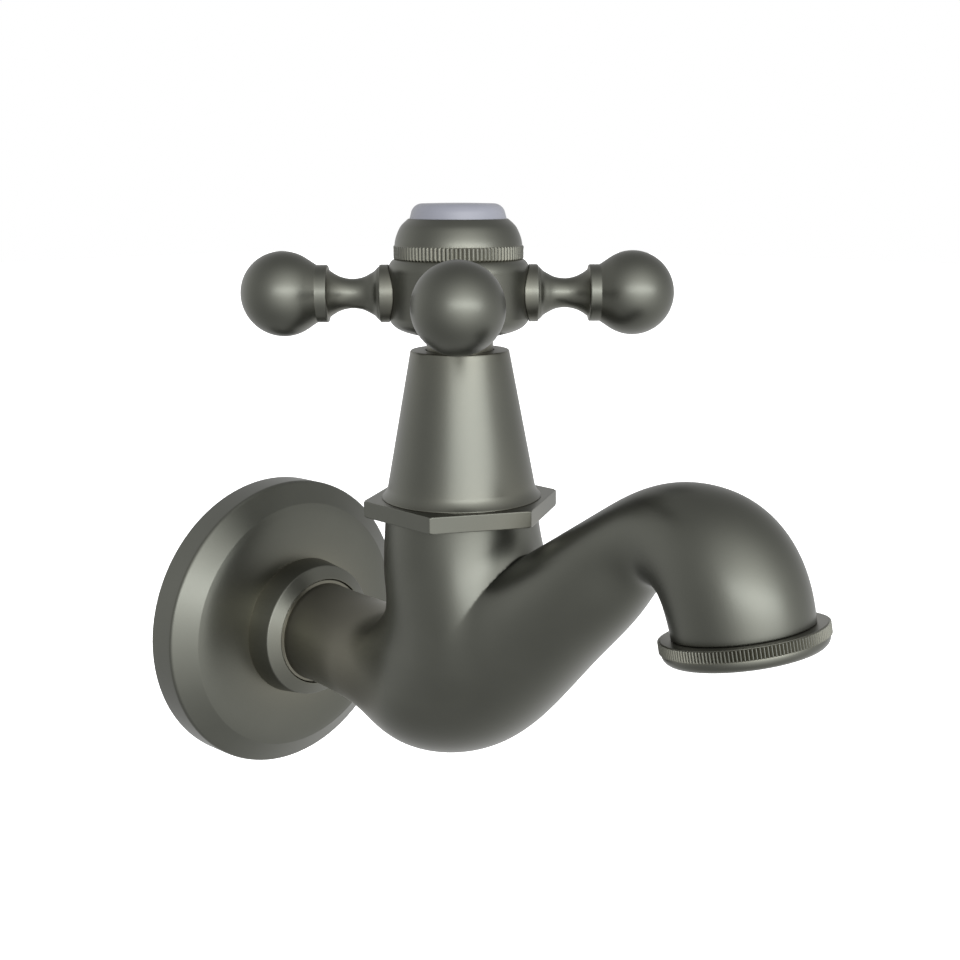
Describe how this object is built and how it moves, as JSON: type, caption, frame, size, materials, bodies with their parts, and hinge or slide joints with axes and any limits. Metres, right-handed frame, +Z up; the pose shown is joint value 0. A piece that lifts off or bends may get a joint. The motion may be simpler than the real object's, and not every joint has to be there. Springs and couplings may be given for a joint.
{
  "type": "bib tap",
  "caption": "Wall-mounted bib tap with a round flange, curved spout, bell-shaped shroud and ball-ended cross handle.",
  "frame": {"origin": "centre of the wall flange's back face, on the inlet tail's axis", "axes": "+Z up along the spindle's direction, the tap stands out from the wall towards -Y, X = 0 is the mirror plane of body and spout"},
  "size_m": [0.06, 0.1463, 0.1169],
  "materials": {
    "gunmetal": "dark gunmetal plating, satin",
    "raw_brass": "machined brass",
    "steel": "plain stainless",
    "rubber": "matt black",
    "white_plastic": "moulded",
    "button": "satin lilac grey"
  },
  "bodies": {
    "tap": {"tap_body": "gunmetal", "wall_flange": "gunmetal", "flange_gasket": "rubber", "flange_o_ring": "rubber", "bonnet": "gunmetal", "bonnet_o_ring": "rubber", "thrust_washer": "white_plastic", "slip_washer": "steel", "bell_shroud": "gunmetal", "outlet_ring": "gunmetal", "outlet_washer": "rubber", "flow_former": "white_plastic", "mesh_screen": "steel"},
    "handle": {"spindle": "raw_brass", "spindle_circlip": "steel", "spindle_o_ring_lower": "rubber", "spindle_o_ring_upper": "rubber", "handle_hub": "gunmetal", "handle_arm_front": "gunmetal", "handle_arm_left": "gunmetal", "handle_arm_rear": "gunmetal", "handle_arm_right": "gunmetal", "handle_screw": "steel", "handle_screw_washer": "steel", "handle_cap": "gunmetal", "button_gasket": "rubber", "index_button": "button"},
    "valve": {"valve_carrier": "raw_brass", "tap_washer": "rubber", "washer_plate": "steel", "washer_screw": "steel"}
  },
  "joints": [
    {"name": "handle_turn", "type": "hinge", "parent": "tap", "child": "handle", "pos_m": [0, -0.05644, 0.0713], "axis": [0, 0, 1], "range_deg": [0, 450]},
    {"name": "valve_lift", "type": "slide", "parent": "tap", "child": "valve", "axis": [0, 0, 1], "range_m": [0, 0.005]}
  ],
  "couplings": [
    {"joint": "valve_lift", "follows": "handle_turn", "m_per_rad": 0.00063662}
  ]
}
